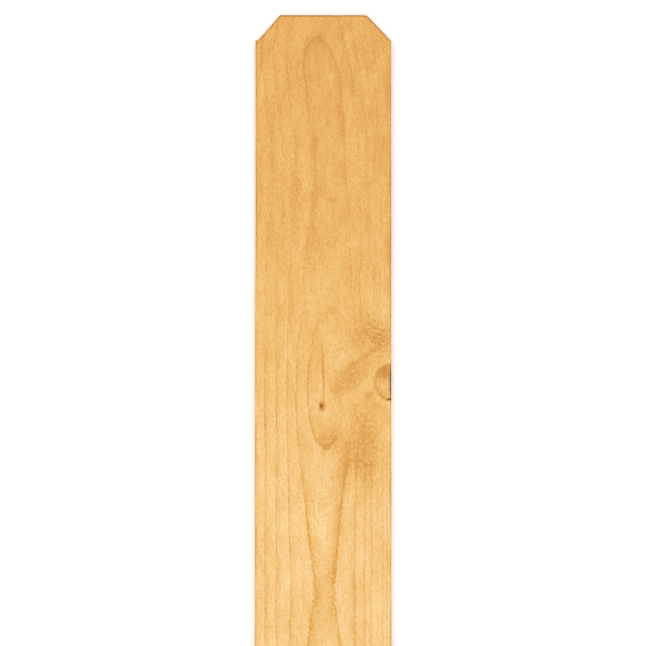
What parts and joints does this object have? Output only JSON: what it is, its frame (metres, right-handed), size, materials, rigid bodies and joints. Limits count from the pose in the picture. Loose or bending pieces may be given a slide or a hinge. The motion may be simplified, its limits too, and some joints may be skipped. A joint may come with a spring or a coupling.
{
  "type": "fence picket",
  "caption": "Dog-ear fence picket: a flat rough-sawn softwood board with both top corners cut off, nailed upright to fence rails.",
  "frame": {"origin": "middle of the back face, which the board lies on", "axes": "+X across the board, +Y along it from the square butt end to the eared top end, +Z through its thickness to the front face"},
  "size_m": [0.1396, 1.8288, 0.0159],
  "materials": {
    "softwood": "matte"
  },
  "bodies": {
    "root": {"picket": "softwood"}
  },
  "joints": []
}
